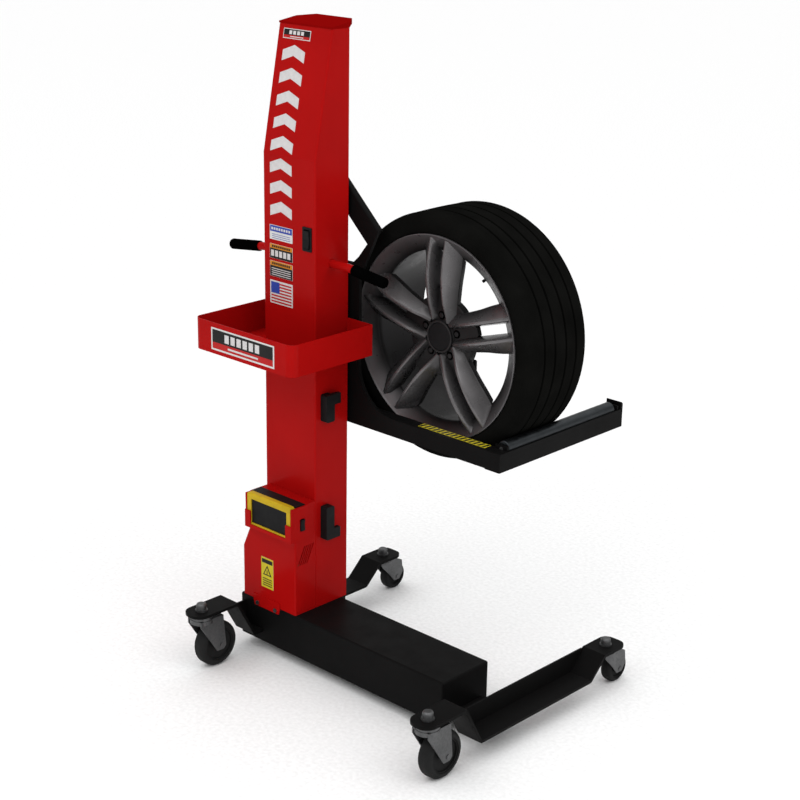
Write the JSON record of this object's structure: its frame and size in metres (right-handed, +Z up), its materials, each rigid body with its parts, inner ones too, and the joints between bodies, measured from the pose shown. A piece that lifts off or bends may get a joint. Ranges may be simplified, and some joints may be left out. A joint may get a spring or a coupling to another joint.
{
  "type": "mobile wheel lift",
  "caption": "Battery wheel lift on casters: a column with a lead screw raises a roller cradle that holds a wheel and tyre, with a tool tray and push handles.",
  "frame": {"origin": "on the floor, below the middle of the overall box", "axes": "+Z up; +X from the column towards the carried wheel; +Y forwards, away from the operator, along the wheel axle"},
  "size_m": [1.0961, 0.952, 1.736],
  "materials": {
    "red_paint": "gloss",
    "black_paint": "satin",
    "zinc_steel": "satin",
    "ground_steel": "ground",
    "grip_rubber": "matte",
    "black_plastic": "matte",
    "yellow_plastic": "satin",
    "cell_wrap": "satin",
    "label_film": "printed",
    "motor_aluminium": "satin",
    "cast_iron": "cast",
    "circuit_board": "gloss",
    "brass": "machined",
    "white_plastic": "satin",
    "tyre_rubber": "matte",
    "rim_paint": "satin",
    "caster_plastic": "satin",
    "caster_rubber": "matte"
  },
  "bodies": {
    "base": {"base_plate": "black_paint", "beam_shell": "black_paint", "leg_left": "black_paint", "leg_right": "black_paint", "mast_channel": "black_paint", "column_cover": "red_paint", "column_cap": "red_paint", "lower_housing": "red_paint", "panel_screws": "zinc_steel", "battery_dock": "red_paint", "handle_bar": "red_paint", "handle_grips": "grip_rubber", "tool_tray": "red_paint", "cord_cleats": "black_plastic", "lift_switch_bezel": "black_plastic", "column_labels": "label_film", "drive_motor": "motor_aluminium", "gearbox": "cast_iron", "screw_bearing": "cast_iron", "controller": "circuit_board", "caster_races": "zinc_steel", "caster_nuts": "zinc_steel"},
    "screw": {"lead_screw": "ground_steel"},
    "carriage": {"carriage_plate": "black_paint", "carriage_truck": "black_paint", "diagonal_brace": "black_paint", "cross_arm": "black_paint", "fork_outer": "black_paint", "fork_inner": "black_paint", "guide_pads": "white_plastic", "drive_nut": "brass", "roller_axles": "zinc_steel"},
    "roller_outer_body": {"roller_outer": "ground_steel"},
    "roller_inner_body": {"roller_inner": "ground_steel"},
    "wheel": {"tyre": "tyre_rubber", "rim": "rim_paint", "centre_cap": "black_plastic", "valve_stem": "black_plastic"},
    "battery": {"battery_case": "black_plastic", "battery_frame": "yellow_plastic", "battery_cells": "cell_wrap"},
    "lift_rocker_body": {"lift_rocker": "black_plastic"},
    "power_rocker_body": {"power_rocker": "black_plastic"},
    "caster_near_left": {"caster_fork_near_left": "zinc_steel", "caster_axle_near_left": "zinc_steel"},
    "caster_wheel_near_left": {"caster_core_near_left": "caster_plastic", "caster_tread_near_left": "caster_rubber"},
    "caster_near_right": {"caster_fork_near_right": "zinc_steel", "caster_axle_near_right": "zinc_steel"},
    "caster_wheel_near_right": {"caster_core_near_right": "caster_plastic", "caster_tread_near_right": "caster_rubber"},
    "caster_far_left": {"caster_fork_far_left": "zinc_steel", "caster_axle_far_left": "zinc_steel"},
    "caster_wheel_far_left": {"caster_core_far_left": "caster_plastic", "caster_tread_far_left": "caster_rubber"},
    "caster_far_right": {"caster_fork_far_right": "zinc_steel", "caster_axle_far_right": "zinc_steel"},
    "caster_wheel_far_right": {"caster_core_far_right": "caster_plastic", "caster_tread_far_right": "caster_rubber"}
  },
  "joints": [
    {"name": "lift_slide", "type": "slide", "parent": "base", "child": "carriage", "axis": [0, 0, 1], "range_m": [-0.61, 0.25]},
    {"name": "screw_spin", "type": "hinge", "parent": "base", "child": "screw", "pos_m": [-0.285, -0.058, 0.9], "axis": [0, 0, 1], "range_deg": [-11000, 4520]},
    {"name": "wheel_spin", "type": "hinge", "parent": "carriage", "child": "wheel", "pos_m": [0.09, 0.137, 0.944], "axis": [0, 1, 0], "continuous": true},
    {"name": "roller_outer_spin", "type": "hinge", "parent": "carriage", "child": "roller_outer_body", "pos_m": [0.3525, 0.226, 0.7134], "axis": [0, 1, 0], "continuous": true},
    {"name": "roller_inner_spin", "type": "hinge", "parent": "carriage", "child": "roller_inner_body", "pos_m": [-0.1725, 0.226, 0.7134], "axis": [0, 1, 0], "continuous": true},
    {"name": "battery_slide", "type": "slide", "parent": "base", "child": "battery", "axis": [0, 0, 1], "range_m": [0, 0.1]},
    {"name": "lift_rocker_tilt", "type": "hinge", "parent": "base", "child": "lift_rocker_body", "pos_m": [-0.184, -0.166, 1.19], "axis": [1, 0, 0], "range_deg": [-8, 8], "stiffness_Nm_per_rad": 0.6},
    {"name": "power_rocker_tilt", "type": "hinge", "parent": "base", "child": "power_rocker_body", "pos_m": [-0.153, -0.222, 0.417], "axis": [0, 1, 0], "range_deg": [-8, 8]},
    {"name": "swivel_near_left", "type": "hinge", "parent": "base", "child": "caster_near_left", "pos_m": [-0.3265, -0.434, 0.12], "axis": [0, 0, 1], "continuous": true},
    {"name": "caster_spin_near_left", "type": "hinge", "parent": "caster_near_left", "child": "caster_wheel_near_left", "pos_m": [-0.3265, -0.388, 0.064], "axis": [1, 0, 0], "continuous": true},
    {"name": "swivel_near_right", "type": "hinge", "parent": "base", "child": "caster_near_right", "pos_m": [0.5105, -0.434, 0.12], "axis": [0, 0, 1], "continuous": true},
    {"name": "caster_spin_near_right", "type": "hinge", "parent": "caster_near_right", "child": "caster_wheel_near_right", "pos_m": [0.5105, -0.388, 0.064], "axis": [1, 0, 0], "continuous": true},
    {"name": "swivel_far_left", "type": "hinge", "parent": "base", "child": "caster_far_left", "pos_m": [-0.3265, 0.276, 0.12], "axis": [0, 0, 1], "continuous": true},
    {"name": "caster_spin_far_left", "type": "hinge", "parent": "caster_far_left", "child": "caster_wheel_far_left", "pos_m": [-0.3265, 0.318, 0.041], "axis": [1, 0, 0], "continuous": true},
    {"name": "swivel_far_right", "type": "hinge", "parent": "base", "child": "caster_far_right", "pos_m": [0.5105, 0.276, 0.12], "axis": [0, 0, 1], "continuous": true},
    {"name": "caster_spin_far_right", "type": "hinge", "parent": "caster_far_right", "child": "caster_wheel_far_right", "pos_m": [0.5105, 0.318, 0.041], "axis": [1, 0, 0], "continuous": true}
  ],
  "couplings": [
    {"joint": "screw_spin", "follows": "lift_slide", "rad_per_m": 314.16},
    {"joint": "roller_outer_spin", "follows": "wheel_spin", "ratio": -17.368},
    {"joint": "roller_inner_spin", "follows": "wheel_spin", "ratio": -17.368}
  ]
}
